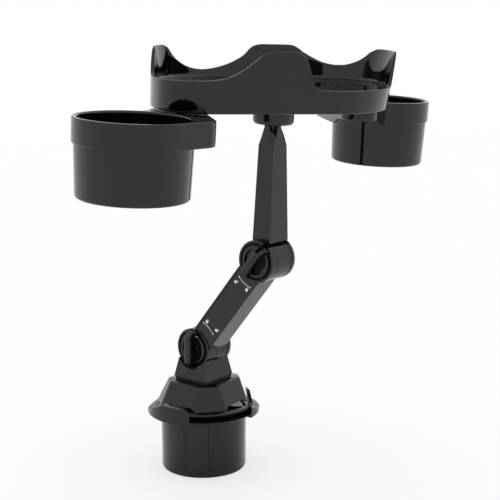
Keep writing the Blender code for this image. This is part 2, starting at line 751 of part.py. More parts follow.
def make_base_fixings(metal):
    floor = POST_TOP + GAP + 0.0030
    profile = [(0, 0.0300), (0.0020, 0.0300), (0.0020, floor + GAP), (0.0045, floor + GAP)]
    profile += [(0.0045, floor + 0.0032), (0, floor + 0.0032)]
    screw = to_object("skirt_screw", turned(profile, 24), metal)
    cut(screw, prism(disc_points((0, 0), 0.0022, 6), floor + 0.0018, floor + 0.01))
    pin = to_object("swivel_pin", across(rod(PIN_R, SPIGOT_R - 0.0016 + GAP, TUBE_R + 0.0010, 24)), metal)
    pin.matrix_world = skirt_frame() @ Matrix.Translation((0, 0, PIN_Z))


def main():
    clear_scene()
    black = plastic("black_gloss_plastic", 0.012)
    metal = steel("zinc_plated_steel")
    make_foot(black)
    make_collar(black)
    make_drum(black)
    make_skirt(black)
    make_mount(black)
    make_base_fixings(metal)
    make_link(black)
    make_hardware("lower", 0.0, black, metal)
    make_hardware("upper", LINK_LEAN, black, metal)
    make_upper_arm(black)
    make_hub(black)
    make_tray(black)
    make_tray_screw(metal)
    make_cup(-1, black, metal)
    make_cup(1, black, metal)


main()
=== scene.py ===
import math

import bpy
import numpy as np
from mathutils import Matrix, Vector


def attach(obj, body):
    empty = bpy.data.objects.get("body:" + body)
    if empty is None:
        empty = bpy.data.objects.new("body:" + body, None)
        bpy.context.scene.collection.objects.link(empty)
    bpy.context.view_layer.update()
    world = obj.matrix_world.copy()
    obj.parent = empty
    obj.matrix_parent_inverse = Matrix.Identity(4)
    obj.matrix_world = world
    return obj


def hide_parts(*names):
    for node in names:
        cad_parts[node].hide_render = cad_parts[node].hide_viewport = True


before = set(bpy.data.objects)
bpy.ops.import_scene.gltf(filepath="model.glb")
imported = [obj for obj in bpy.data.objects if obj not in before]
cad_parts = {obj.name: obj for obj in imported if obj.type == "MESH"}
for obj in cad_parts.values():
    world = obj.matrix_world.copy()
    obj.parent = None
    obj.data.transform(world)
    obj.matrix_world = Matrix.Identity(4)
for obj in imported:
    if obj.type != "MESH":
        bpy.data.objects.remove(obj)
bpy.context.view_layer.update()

# Expander for a car cup holder, all in metres in the frame of the solids:
# the foot's axis is the origin, X runs along the tray, -Y is the tray's front.

print("stage: frame loaded,", len(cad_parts), "nodes")

# the arm's two hinges; leans are from upright, in degrees
arm = {"heading": -63.9, "lowerZ": 0.1045, "linkLength": 0.1053, "linkLean": 39.03,
       "columnLength": 0.1074, "columnLean": 3.57}


def turned(degrees, axis):
    return Matrix.Rotation(math.radians(degrees), 4, axis)


def moved(x, y, z):
    return Matrix.Translation((x, y, z))


def hingePlace(upper):
    lean = math.radians(arm["linkLean"])
    length = arm["linkLength"] if upper else 0.0
    spot = moved(length * math.sin(lean), 0, arm["lowerZ"] + length * math.cos(lean))
    return turned(arm["heading"], 'Z') @ spot


lowerHinge = hingePlace(False)
linkPlace = lowerHinge @ turned(arm["linkLean"], 'Y')
linkEnd = linkPlace @ moved(0, 0, arm["linkLength"])
columnPlace = hingePlace(True) @ turned(arm["columnLean"], 'Y')
trayPlace = columnPlace @ moved(0, 0, arm["columnLength"]) @ turned(-arm["heading"], 'Z')


# materials, each named for what the real one is, the ink also for the painted highlight it draws; sizes of their
# patterns in metres
glossAbs = {"name": "polished black ABS", "dark": "#060606", "light": "#0B0B0C", "haze": 0.018, "speck": 0.0012,
            "wave": 0.006, "waveHeight": 0.000004, "smooth": 0.030, "rough": 0.065, "edge": 0.00022, "ior": 1.46}
recessAbs = {"name": "black ABS in the recesses", "dark": "#080808", "light": "#0C0C0D", "haze": 0.018,
             "speck": 0.0012, "wave": 0.004, "waveHeight": 0.000004, "smooth": 0.16, "rough": 0.26,
             "edge": 0.00015, "ior": 1.46}
brightZinc = {"name": "bright zinc plate", "dark": "#B4B7BC", "light": "#D2D3D0", "cloud": 0.0030, "grain": 0.0002,
              "grainHeight": 0.00001, "smooth": 0.24, "rough": 0.36}
inkAndGlintWhite = {"name": "white pad-printed ink and painted glint", "dark": "#D9DADB", "light": "#F2F2F1", "patch": 0.0004,
            "smooth": 0.35, "rough": 0.5, "ior": 1.5}


def srgb(text):
    # a hex colour as the eye sees it, turned into linear light
    c = [int(text[i:i + 2], 16) / 255 for i in (1, 3, 5)]
    c = [v / 12.92 if v <= 0.04045 else ((v + 0.055) / 1.055) ** 2.4 for v in c]
    return (c[0], c[1], c[2], 1.0)


def newMaterial(name):
    mat = bpy.data.materials.new(name)
    mat.use_nodes = True
    tree = mat.node_tree
    return mat, tree, tree.nodes["Principled BSDF"]


def join(tree, n, links):
    for key, source in links.items():
        tree.links.new(source, n.inputs[key])


def node(tree, kind, settings=None, links=None):
    # one node with its settings, and the outputs that its sockets are linked to
    n = tree.nodes.new(kind)
    for key, value in (settings or {}).items():
        if isinstance(key, int) or key in n.inputs:
            n.inputs[key].default_value = value
        else:
            setattr(n, key, value)
    join(tree, n, links or {})
    return n


def rangeOf(look):
    # noise lies mostly between 0.3 and 0.7, and is spread over the finish's own range
    return {"From Min": 0.3, "From Max": 0.7, "To Min": look["smooth"], "To Max": look["rough"]}


def colours(look):
    return {"data_type": 'RGBA', 6: srgb(look["dark"]), 7: srgb(look["light"])}


def mouldedAbs(look):
    # high-gloss moulded ABS: a mirror skin with the faint waviness and haze that
    # a polished mould leaves, and corners rounded as the tool's cutter left them
    mat, tree, shader = newMaterial(look["name"])
    place = {"Vector": node(tree, 'ShaderNodeTexCoord').outputs["Object"]}
    haze = node(tree, 'ShaderNodeTexNoise', {"Scale": 1 / look["haze"], "Detail": 3.0}, place)
    speck = node(tree, 'ShaderNodeTexNoise', {"Scale": 1 / look["speck"], "Detail": 1.0}, place)
    swell = node(tree, 'ShaderNodeTexNoise', {"Scale": 1 / look["wave"], "Detail": 0.0}, place)
    tone = node(tree, 'ShaderNodeMix', colours(look), {0: haze.outputs["Fac"]})
    dull = node(tree, 'ShaderNodeMapRange', rangeOf(look), {"Value": speck.outputs["Fac"]})
    soft = node(tree, 'ShaderNodeBevel', {"samples": 4, "Radius": look["edge"]})
    bump = node(tree, 'ShaderNodeBump', {"Strength": 1.0, "Distance": look["waveHeight"]},
                {"Height": swell.outputs["Fac"], "Normal": soft.outputs["Normal"]})
    join(tree, shader, {"Base Color": tone.outputs[2], "Roughness": dull.outputs["Result"],
                        "Normal": bump.outputs["Normal"]})
    shader.inputs["IOR"].default_value = look["ior"]
    return mat


def zincPlate(look):
    # bright zinc plate on steel: grey metal with cloudy roughness and fine grain
    mat, tree, shader = newMaterial(look["name"])
    place = {"Vector": node(tree, 'ShaderNodeTexCoord').outputs["Object"]}
    cloud = node(tree, 'ShaderNodeTexNoise', {"Scale": 1 / look["cloud"], "Detail": 4.0}, place)
    grain = node(tree, 'ShaderNodeTexNoise', {"Scale": 1 / look["grain"], "Detail": 2.0}, place)
    tone = node(tree, 'ShaderNodeMix', colours(look), {0: cloud.outputs["Fac"]})
    dull = node(tree, 'ShaderNodeMapRange', rangeOf(look), {"Value": cloud.outputs["Fac"]})
    bump = node(tree, 'ShaderNodeBump', {"Strength": 0.4, "Distance": look["grainHeight"]},
                {"Height": grain.outputs["Fac"]})
    join(tree, shader, {"Base Color": tone.outputs[2], "Roughness": dull.outputs["Result"],
                        "Normal": bump.outputs["Normal"]})
    shader.inputs["Metallic"].default_value = 1.0
    return mat


def padPrint(look):
    # pad-printed white ink: thin, slightly uneven, a little duller than the plastic; the same white also paints a
    # highlight dot on the lower knob
    mat, tree, shader = newMaterial(look["name"])
    place = {"Vector": node(tree, 'ShaderNodeTexCoord').outputs["Object"]}
    patch = node(tree, 'ShaderNodeTexNoise', {"Scale": 1 / look["patch"], "Detail": 3.0}, place)
    tone = node(tree, 'ShaderNodeMix', colours(look), {0: patch.outputs["Fac"]})
    dull = node(tree, 'ShaderNodeMapRange', rangeOf(look), {"Value": patch.outputs["Fac"]})
    join(tree, shader, {"Base Color": tone.outputs[2], "Roughness": dull.outputs["Result"]})
    shader.inputs["IOR"].default_value = look["ior"]
    return mat


finish = {"blackAbs": mouldedAbs(glossAbs), "darkAbs": mouldedAbs(recessAbs), "zinc": zincPlate(brightZinc),
          "ink": padPrint(inkAndGlintWhite)}
print("stage: materials made")


# surfaces worked out as whole arrays of points
def gridFaces(rows, cols, wrapRows, wrapCols):
    # corner numbers of every cell of a grid whose rows or columns may close up
    r = np.arange(rows if wrapRows else rows - 1)
    c = np.arange(cols if wrapCols else cols - 1)
    r, c = np.meshgrid(r, c, indexing="ij")
    r2, c2 = (r + 1) % rows, (c + 1) % cols
    return np.stack([r * cols + c, r * cols + c2, r2 * cols + c2, r2 * cols + c], axis=-1).reshape(-1, 4)


def welded(points, faces):
    # points nearer than a micrometre become one, so seams and poles close up
    key = np.round(points * 1e6).astype(np.int64)
    _, first, inverse = np.unique(key, axis=0, return_index=True, return_inverse=True)
    quads = inverse.reshape(-1)[faces]
    same = quads == np.roll(quads, -1, axis=1)
    count = same.sum(axis=1)
    whole = quads[count == 0].tolist()
    thin, slot = quads[count == 1], same[count == 1].argmax(axis=1)
    keep = (slot[:, None] + np.arange(1, 4)[None, :]) % 4
    return points[first], whole + np.take_along_axis(thin, keep, axis=1).tolist()


def gridPart(grid, wrapRows=False, wrapCols=True):
    return welded(grid.reshape(-1, 3), gridFaces(grid.shape[0], grid.shape[1], wrapRows, wrapCols))


def closedEnds(grid):
    # a tube's first and last rows are each drawn in to their own middle
    ends = [np.repeat(grid[i].mean(axis=0)[None], grid.shape[1], axis=0) for i in (0, -1)]
    return np.concatenate([ends[0][None], grid, ends[1][None]])


def volume(points, faces):
    # signed volume: a sixth of the sum of the triple products of a fan in every face
    tris = np.array([t for f in faces for t in zip([f[0]] * (len(f) - 2), f[1:], f[2:])])
    a, b, c = points[tris[:, 0]], points[tris[:, 1]], points[tris[:, 2]]
    return float((a * np.cross(b, c)).sum() / 6)


def merged(parts):
    # closed parts become one mesh, each with its faces pointing outwards
    points, faces, start = [], [], 0
    for p, f in parts:
        step = -1 if volume(p, f) < 0 else 1
        points.append(p)
        faces += [[i + start for i in face[::step]] for face in f]
        start += len(p)
    return np.concatenate(points), faces


def addMesh(name, part, body, place=None, finishName="blackAbs", replaced=(), sharp=38.0):
    # a piece with its place in its mesh; edges sharper than the angle stay crisp
    points, faces = part
    if place is not None:
        m = np.array(place)
        points = points @ m[:3, :3].T + m[:3, 3]
    mesh = bpy.data.meshes.new(name)
    mesh.from_pydata(points.tolist(), [], faces)
    mesh.validate()
    if volume(points, faces) < 0.0:
        mesh.flip_normals()
    mesh.shade_smooth()
    mesh.set_sharp_from_angle(angle=math.radians(sharp))
    mesh.materials.append(finish[finishName])
    piece = bpy.data.objects.new(name, mesh)
    bpy.context.scene.collection.objects.link(piece)
    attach(piece, body)
    if replaced:
        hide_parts(*replaced)
    return piece


def rounded(corners, radii, steps=6, closed=False):
    # a path through corners, each swapped for an arc that touches both its sides
    path = []
    n = len(corners)
    for i in range(n):
        b = np.array(corners[i], float)
        if radii[i] <= 0 or (not closed and i in (0, n - 1)):
            path.append(b)
            continue
        u = np.array(corners[i - 1], float) - b
        w = np.array(corners[(i + 1) % n], float) - b
        u, w = u / np.linalg.norm(u), w / np.linalg.norm(w)
        half = math.acos(np.clip(u @ w, -1, 1)) / 2
        cut = radii[i] / math.tan(half)
        middle = b + (u + w) / np.linalg.norm(u + w) * radii[i] / math.sin(half)
        start, end = b + u * cut - middle, b + w * cut - middle
        a0 = math.atan2(start[1], start[0])
        span = (math.atan2(end[1], end[0]) - a0 + math.pi) % (2 * math.pi) - math.pi
        angles = a0 + span * np.linspace(0, 1, steps + 1)
        path.extend(middle + radii[i] * np.stack([np.cos(angles), np.sin(angles)], axis=1))
    return np.array(path)


def turnedGrid(profile, seg=144):
    # (r, z) turned about Z: x = r cos t, y = r sin t
    t = np.linspace(0, 2 * math.pi, seg, endpoint=False)
    r, z = profile[:, 0][:, None], profile[:, 1][:, None]
    return np.stack([r * np.cos(t), r * np.sin(t), z + 0 * t], axis=-1)


def alongY(grid):
    # a grid turned about Z, stood so that it is turned about Y, as the hinges are
    return np.stack([grid[..., 0], grid[..., 2], grid[..., 1]], axis=-1)


def ease(t):
    # from 0 to 1 with a level start and end: t squared times (3 - 2 t)
    t = np.clip(t, 0.0, 1.0)
    return t * t * (3 - 2 * t)


quarterTurn = math.pi / 2

# tray; angles in degrees, "recessMouth" is a round as (outwards, down) from the hole's edge
tray = {"lowerEdge": 0.01386, "halfLength": 0.1035, "halfWidth": 0.0566, "shift": -0.0014, "smallCorner": 0.0332,
        "thickness": 0.0026, "deckTop": 0.0170, "deckThickness": 0.0025, "flareMiddle": 3.8, "flareSwing": 3.2,
        "rimRound": 0.0009, "deckFillet": 0.0030, "leastFillet": 0.0003, "lipHeight": 0.0394, "lipStep": 0.0009,
        "lipRun": 0.0015, "lipRise": 0.0002, "around": 0.543228, "recess": 0.0062, "seat": 0.0080, "boss": 0.0110,
        "bore": 0.0024, "recessMouth": ((0.0, 0.0006), (0.0002, 0.0002), (0.0007, 0.0)), "edgeRound": 0.0010,
        "chamfer": 0.0003, "pivotBoss": 0.0080, "bossSunk": 0.0005}


def trayEdge(count):
    # the lower edge: quarter arcs, small and big by turns, joined by straight sides
    a, b, small = tray["halfLength"], tray["halfWidth"], tray["smallCorner"]
    big = 2 * b - small
    side = 2 * a - small - big
    parts = [(-a + small, b - small, small, 180.0), (a - big, b - big, big, 90.0),
             (a - small, -b + small, small, 0.0), (-a + big, -b + big, big, -90.0)]
    lengths = [small * quarterTurn, side, big * quarterTurn, small * quarterTurn, side, big * quarterTurn]
    s = np.linspace(0, sum(lengths), count, endpoint=False)
    p, n = np.zeros((count, 2)), np.zeros((count, 2))
    start = 0.0
    order = ((parts[0], None), (parts[0], 1.0), (parts[1], None),
             (parts[2], None), (parts[2], -1.0), (parts[3], None))
    for length, ((cx, cy, r, angle), straight) in zip(lengths, order):
        here = (s >= start - 1e-12) & (s < start + length)
        f = s[here] - start
        if straight is None:
            t = math.radians(angle) - f / r
            n[here] = np.stack([np.cos(t), np.sin(t)], axis=1)
            p[here] = np.array([cx, cy]) + r * n[here]
        else:
            n[here] = (0.0, straight)
            p[here] = np.stack([cx + straight * f, cy + straight * r + 0 * f], axis=1)
        start += length
    return p, n, s


# the rim's run round the tray: (distance along the edge, height) in mm, by the
# front from the left end; four posts with long flanks and short shoulders
rimRun = ((0, 22.1), (18, 22.3), (30, 22.6), (42, 23.2), (50, 23.8), (56, 24.8), (62, 26.8), (68, 29.7), (74, 33.6),
          (80, 38.2), (86, 42.9), (90, 44.1), (96, 44.5), (108, 44.6), (113, 44.0), (117, 41.3), (120, 37.6),
          (123, 30.0), (126, 22.6), (129, 19.3), (133, 17.6), (140, 17.1), (156, 17.1), (190, 17.6), (225, 17.9),
          (229, 20.5), (233, 31.0), (237, 42.0), (240, 44.2), (262, 44.2), (274, 43.9), (280, 41.8), (286, 36.9),
          (292, 32.9), (298, 30.3), (304, 28.8), (310, 28.6), (316, 29.4), (322, 31.0), (328, 33.4), (334, 36.1),
          (340, 39.3), (344, 42.0), (348, 43.5), (352, 43.9), (376, 43.8), (380, 43.4), (384, 42.3), (388, 40.0),
          (391, 36.8), (394, 34.3), (400, 30.9), (406, 28.2), (412, 26.2), (418, 24.6), (424, 23.6), (430, 23.1),
          (436, 23.5), (442, 24.5), (448, 26.2), (454, 28.7), (460, 31.8), (466, 35.9), (471, 39.9), (475, 41.9),
          (479, 42.5), (497, 42.5), (502, 41.0), (507, 36.0), (512, 29.0), (517, 24.3), (522, 22.5), (530, 22.1))


def rimHeight(s):
    # a smooth curve through the run's points: cubic pieces whose slope at each point is
    # the harmonic mean of the slopes beside it, and level at every crest and hollow
    run = np.array(rimRun) / 1000
    x = np.concatenate([run[:, 0] - tray["around"], run[:, 0], run[:, 0] + tray["around"]])
    y = np.tile(run[:, 1], 3)
    d = np.diff(y) / np.diff(x)
    same = d[:-1] * d[1:] > 0
    slope = np.zeros_like(y)
    slope[1:-1][same] = 2 * d[:-1][same] * d[1:][same] / (d[:-1][same] + d[1:][same])
    k = np.searchsorted(x, s, side="right") - 1
    w = x[k + 1] - x[k]
    t = (s - x[k]) / w
    return ((2 * t**3 - 3 * t**2 + 1) * y[k] + (t**3 - 2 * t**2 + t) * w * slope[k]
            + (3 * t**2 - 2 * t**3) * y[k + 1] + (t**3 - t**2) * w * slope[k + 1])


def makeTray(count=720):
    # a grid of rows that go from the middle hole over the deck, up the wall's inside,
    # over the rim, down the outside and back under the deck; each row is the lower
    # edge pushed outwards by tan(flare) * height - inset
    p, n, s = trayEdge(count)
    h = rimHeight(s)
    swing = 2 * ease(0.5 + 0.5 * p[:, 0] / tray["halfLength"]) - 1
    tilt = np.tan(np.radians(tray["flareMiddle"] + tray["flareSwing"] * swing))
    w, fillet, rim = tray["thickness"], tray["deckFillet"], tray["rimRound"]
    top, under = tray["deckTop"], tray["deckTop"] - tray["deckThickness"]
    edge, chamfer, recess = tray["edgeRound"], tray["chamfer"], tray["recess"]

    def loop(z, inset):
        z = z + 0 * s
        push = tilt * z - inset
        x = p[:, 0] + tray["shift"] + n[:, 0] * push
        y = -(p[:, 1] + n[:, 1] * push)
        return np.stack([x, y, z], axis=1)

    def disc(radius, z):
        ref = loop(top, w + fillet)
        t = np.arctan2(ref[:, 1], ref[:, 0])
        return np.stack([radius * np.cos(t), radius * np.sin(t), z + 0 * t], axis=1)

    rows = [disc(tray["bore"], tray["seat"]), disc(recess, tray["seat"])]
    rows += [disc(recess + out, top - down) for out, down in tray["recessMouth"]]
    flat, centre = loop(top, w + fillet), disc(recess + edge, top)
    rows += [centre + (flat - centre) * f for f in np.linspace(0, 1, 9)]
    room = np.maximum(np.minimum(fillet, h - rim - top), tray["leastFillet"])
    for t in np.linspace(0, quarterTurn, 8)[1:]:
        rows.append(loop(top + room * (1 - math.cos(t)), w + fillet * (1 - math.sin(t))))
    # the posts' tops have a shallow rebate inside
    low, high = top + room, h - rim
    lip = np.minimum(tray["lipHeight"], high)
    above = np.minimum(lip + tray["lipRise"], high)
    step = tray["lipStep"] * ease((high - tray["lipHeight"]) / tray["lipRun"])
    rows += [loop(low + (lip - low) * f, w) for f in np.linspace(0, 1, 7)[1:]]
    rows += [loop(above * (1 - f) + high * f, w - step) for f in np.linspace(0, 1, 5)]
    rows += [loop(high + rim * math.sin(t), w - step - rim * (1 - math.cos(t)))
             for t in np.linspace(0, quarterTurn, 6)[1:]]
    rows += [loop(high + rim * math.cos(t), rim * (1 - math.sin(t))) for t in np.linspace(0, quarterTurn, 6)]
    rows += [loop(high + (edge - high) * f, 0.0) for f in np.linspace(0, 1, 13)[1:]]
    rows += [loop(edge * (1 - math.sin(t)), edge * (1 - math.cos(t))) for t in np.linspace(0, quarterTurn, 6)[1:]]
    rows += [loop(0.0, w - chamfer), loop(chamfer, w), loop(under - edge, w), loop(under, w + edge)]
    flat, centre = loop(under, w + edge), disc(tray["boss"] + edge, under)
    rows += [flat + (centre - flat) * f for f in np.linspace(0, 1, 7)[1:]]
    rows += [disc(tray["boss"], under - edge), disc(tray["boss"], chamfer), disc(tray["boss"] - chamfer, 0.0)]
    rows += [disc(tray["bore"], 0.0)]
    place = trayPlace @ moved(0, 0, tray["lowerEdge"])
    addMesh("tray_shell", gridPart(np.array(rows), wrapRows=True), "tray_body", place, replaced=("tray",), sharp=50)
    r, end = tray["pivotBoss"], under + tray["bossSunk"]
    profile = np.array([(0, 0), (r - chamfer, 0), (r, chamfer), (r, end), (0, end)])
    for side, name in ((-1, "left"), (1, "right")):
        spot = place @ moved(side * cup["pivotA"], -side * cup["pivotB"], 0)
        addMesh(name + "_pivot_boss", gridPart(turnedGrid(profile, 64)), "tray_body", spot)


# cups; a and b are measured from the tray's middle along and across it
cup = {"a": 0.1370, "b": 0.0662, "pivotA": 0.0826, "pivotB": -0.0105, "cornerA": 0.0993, "cornerB": 0.0812,
       "cornerR": 0.0140, "pivotR": 0.0150, "ring": 0.04217, "rootR": 0.0120, "band": 0.0177, "depth": 0.0549,
       "top": 0.04067, "bottom": 0.0394, "wall": 0.0020, "floor": 0.0025, "skin": 0.0026, "edge": 0.0009,
       "height": 0.01356, "armRise": 0.0060, "armSlope": 0.0140, "roof": 0.0030, "roofSlope": 0.0040,
       "mouthDrop": 0.0010, "mouthFlare": 0.0012, "mouthLip": 0.0016,
       "innerRounds": (0, 0.0030, 0.010, 0.0012, 0), "outerRounds": (0, 0, 0.0024, 0)}


def reach(theta, discs):
    # how far a convex outline round some discs goes from the cup's axis in a direction:
    # the least of support(phi) / cos(theta - phi), where support = centre . u(phi) + radius
    phi = np.linspace(0, 2 * math.pi, 1440, endpoint=False)
    support = np.max([x * np.cos(phi) + y * np.sin(phi) + r for x, y, r in discs], axis=0)
    cosine = np.cos(theta[:, None] - phi[None, :])
    return np.where(cosine > 1e-3, support / np.maximum(cosine, 1e-3), np.inf).min(axis=1)


def makeCup(side, count=720):
    # the plan is the further of two outlines, one round the ring and the corner, and one
    # round root, corner and pivot; a grid of rows goes from the middle of the floor up
    # the inside, over the band's rim, into the arm's hollow and down the body's outside
    name = "left" if side < 0 else "right"
    corner = (side * (cup["cornerA"] - cup["a"]), side * (cup["cornerB"] - cup["b"]))
    pivot = (side * (cup["pivotA"] - cup["a"]), side * (-cup["pivotB"] - cup["b"]))

    def outlines(theta, inset):
        ringHull = reach(theta, [(0, 0, cup["ring"]), (corner[0], corner[1], cup["cornerR"])])
        armHull = reach(theta, [(0, 0, cup["rootR"] - inset), (corner[0], corner[1], cup["cornerR"] - inset),
                                (pivot[0], pivot[1], cup["pivotR"] - inset)])
        return ringHull, armHull

    # headings that lie evenly along the outline
    fine = np.linspace(0, 2 * math.pi, 2880, endpoint=False)
    radius = np.maximum(*outlines(fine, 0.0))
    x, y = radius * np.cos(fine), radius * np.sin(fine)
    along = np.concatenate([[0], np.cumsum(np.hypot(np.roll(x, -1) - x, np.roll(y, -1) - y))])
    theta = np.interp(np.linspace(0, along[-1], count, endpoint=False), along, np.append(fine, 2 * math.pi))
    radius = np.maximum(*outlines(theta, 0.0))
    edge = np.stack([radius * np.cos(theta), radius * np.sin(theta)], axis=1)
    tangent = np.roll(edge, -1, axis=0) - np.roll(edge, 1, axis=0)
    tangent /= np.linalg.norm(tangent, axis=1)[:, None]
    out = np.stack([tangent[:, 1], -tangent[:, 0]], axis=1)

    def rim(z, inset):
        q = edge - out * inset
        return np.stack([q[:, 0], q[:, 1], z + 0 * theta], axis=1)

    def circle(r, z):
        return np.stack([r * np.cos(theta), r * np.sin(theta), z + 0 * theta], axis=1)

    depth, full, e, throat = cup["depth"], cup["band"], cup["edge"], cup["top"] - cup["wall"]
    # the arm's underside rises toward the pivot, and its hollow opens beside the ring
    away = np.hypot(edge[:, 0] - pivot[0], edge[:, 1] - pivot[1]) - cup["pivotR"]
    band = full - cup["armRise"] * ease(1.0 - away / cup["armSlope"])
    pocket = np.minimum(outlines(theta, cup["skin"])[1], radius - cup["skin"])
    width = np.maximum(pocket - cup["ring"], 0.0)
    roof = -band + (band - cup["roof"]) * ease(width / cup["roofSlope"])
    floor = -depth + cup["floor"]
    inner = rounded([(0, floor), (cup["bottom"] - cup["wall"], floor), (throat, -full), (throat, -cup["mouthDrop"]),
                     (throat + cup["mouthFlare"], 0.0)], cup["innerRounds"])
    ringWall = cup["ring"] - e
    outer = rounded([(ringWall, -full), (cup["top"], -full), (cup["bottom"], -depth), (0, -depth)],
                    cup["outerRounds"], 8)
    rows = [circle(r, z) for r, z in inner]
    rows += [circle(throat + cup["mouthLip"], 0.0)]
    rows += [rim(-e * (1 - math.cos(a)), e * (1 - math.sin(a))) for a in np.linspace(0, quarterTurn, 6)]
    rows += [rim(-e + (2 * e - band) * f, 0.0) for f in (0.25, 0.5, 0.75, 1.0)]
    rows += [rim(-band + e * (1 - math.sin(a)), e * (1 - math.cos(a))) for a in np.linspace(0, quarterTurn, 5)[1:]]
    rows += [circle(ringWall + width, -band), circle(ringWall + width, roof), circle(ringWall, roof),
             circle(ringWall, -full)]
    rows += [circle(r, z) for r, z in outer[1:]]
    place = trayPlace @ moved(side * cup["a"], side * cup["b"], cup["height"])
    addMesh(name + "_cup_shell", gridPart(np.array(rows)), name + "_cup", place,
            replaced=(name + "_cup_holder",), sharp=40)


makeTray()
makeCup(-1)
makeCup(1)
print("stage: tray and cups made")


# knobs, caps and the link's trim; a hinge's axis is Y, and -Y is the knob's side
knob = {"back": -0.0108, "flange": -0.0110, "flangeR": 0.0147, "flangeLip": -0.0121, "ringOuter": 0.0131,
        "ringInner": 0.0101, "draft": 0.0002, "face": -0.0142, "floor": -0.0121,
        "rounds": (0, 0.0002, 0.0002, 0.0002, 0.0006, 0.0005, 0.0004, 0),
        "barTop": -0.0210, "barWidth": 0.0064, "barFoot": 0.0082, "barHalf": 0.0160, "barFlat": 0.0110,
        "barRound": 0.0008, "barInside": 0.0128, "barEndBase": -0.0137, "barTip": 0.0003, "barLift": 0.0001,
        "paintedGlintAt": (0.0052, 0.0113), "dotR": 0.00055, "paintedGlintSunk": 0.0001, "paintedGlintProud": 0.00006,
        "markAt": 0.0058, "markHalf": 0.0012, "markRound": 0.0003, "markProud": 0.0002}
cap = {"seat": 0.0113, "face": 0.0172, "radius": 0.0170, "wall": 0.0030, "skin": 0.0010, "seam": 0.0006,
       "seamDepth": 0.0010, "rounds": (0, 0.0004, 0.0003, 0, 0, 0.0001, 0.0022, 0)}
linkTrim = {"front": -0.0123, "left": -0.0098, "right": 0.0125, "barrel": 0.0175, "bead": 0.0016, "proud": 0.0005,
            "sunk": 0.0002, "inkSunk": 0.0001, "inkProud": 0.00005, "inkWidth": 0.00042, "dotR": 0.00062}
# arcs are (radius, middle heading, half span); signs are (x, z) in the link's own frame
scales = {"upper": {"hinge": arm["linkLength"], "arc": (0.0225, 174.0, 17.5),
                    "signs": ((-0.0043, 0.0779, True), (0.0076, 0.0808, False))},
          "lower": {"hinge": 0.0, "arc": (0.0264, 0.5, 14.0),
                    "signs": ((-0.0042, 0.0294, False), (0.0071, 0.0312, True))}}
# the padlock sign; "shut" and "open" are the shackle's (first, last) heading and number of points
lock = {"size": 1.25, "bodyDrop": 0.0004, "bodyHalf": (0.0010, 0.0008), "bodyRound": 0.0002,
        "shackle": (0.00062, 0.00075), "shackleRise": 0.0006, "shackleLine": 0.00034, "openShift": 0.0009,
        "shut": (-8, 188, 17), "open": (-8, 150, 15)}


def stripGrid(path, width, base, top):
    # a flat band along a path in the X-Z plane: width across it, from base to top in Y
    step = np.gradient(path, axis=0)
    step /= np.linalg.norm(step, axis=1)[:, None]
    side = np.stack([-step[:, 1], step[:, 0]], axis=1) * width / 2
    ring = [(path - side, base), (path - side, top), (path + side, top), (path + side, base)]
    grid = np.stack([np.stack([q[:, 0], y + 0 * q[:, 0], q[:, 1]], axis=1) for q, y in ring], axis=1)
    return gridPart(closedEnds(grid))


def plateGrid(outline, base, top):
    # a flat plate in the X-Z plane with a closed outline, from base to top in Y
    middle = np.repeat(outline.mean(axis=0)[None], len(outline), axis=0)
    rows = [(middle, base), (outline, base), (outline, top), (middle, top)]
    return gridPart(np.array([np.stack([q[:, 0], y + 0 * q[:, 0], q[:, 1]], axis=1) for q, y in rows]))


def roundOutline(x, z, w, h, r):
    corners = [(x - w, z - h), (x + w, z - h), (x + w, z + h), (x - w, z + h)]
    return rounded(corners, [r] * 4, 4, closed=True)


def discOutline(x, z, r, seg=28):
    t = np.linspace(0, 2 * math.pi, seg, endpoint=False)
    return np.stack([x + r * np.cos(t), z + r * np.sin(t)], axis=1)


def makeKnob(which, place):
    # a turned disc, and a grip bar whose rows are its round cross section: the top is
    # level over the flat and slopes to the ring's face at each end
    k = knob
    # the flange slopes down to the ring, so the groove between them stays dark
    corners = [(0, k["back"]), (k["flangeR"], k["back"]), (k["flangeR"], k["flangeLip"]), (k["ringOuter"], k["flange"]),
               (k["ringOuter"] - k["draft"], k["face"]), (k["ringInner"] + k["draft"], k["face"]),
               (k["ringInner"], k["floor"]), (0, k["floor"])]
    disc = gridPart(alongY(turnedGrid(rounded(corners, k["rounds"], 5))))

    z = np.concatenate([np.linspace(-k["barHalf"], -k["barFlat"], 12),
                        np.linspace(-k["barFlat"], k["barFlat"], 24)[1:-1],
                        np.linspace(k["barFlat"], k["barHalf"], 12)])
    out = np.clip((np.abs(z) - k["barFlat"]) / (k["barHalf"] - k["barFlat"]), 0, 1)
    top = k["barTop"] + (k["face"] - k["barTip"] - k["barTop"]) * out
    base = np.where(np.abs(z) < k["barInside"], k["floor"] + k["barLift"], k["barEndBase"])
    half, foot = k["barWidth"] / 2, k["barFoot"] / 2
    r = np.minimum(k["barRound"], (base - top) * 0.45)
    rows = [np.stack([-foot + 0 * z, base, z], axis=1)]
    for a in np.linspace(math.pi, 0, 9):
        across = (half - r) * np.sign(round(math.cos(a), 9))
        rows.append(np.stack([across + r * math.cos(a), top + r - r * math.sin(a), z], axis=1))
    rows.append(np.stack([foot + 0 * z, base, z], axis=1))
    bar = gridPart(closedEnds(np.array(rows).transpose(1, 0, 2)))
    addMesh(which + "_knob_grip", merged([disc, bar]), which + "_lock", place, "blackAbs", (which + "_knob",), 34)
    # the lower knob gets a white dot on its ring's face that is a painted highlight, not a print; the upper knob gets a
    # small rounded square of the rougher black
    if which == "lower":
        outline = discOutline(*k["paintedGlintAt"], k["dotR"])
        mark = plateGrid(outline, k["face"] + k["paintedGlintSunk"], k["face"] - k["paintedGlintProud"])
    else:
        outline = roundOutline(0, k["markAt"], k["markHalf"], k["markHalf"], k["markRound"])
        mark = plateGrid(outline, k["barTop"] + k["markProud"], k["barTop"] - k["markProud"])
    addMesh(which + "_knob_mark_or_painted_glint", mark, which + "_lock", place, "ink" if which == "lower" else "darkAbs")


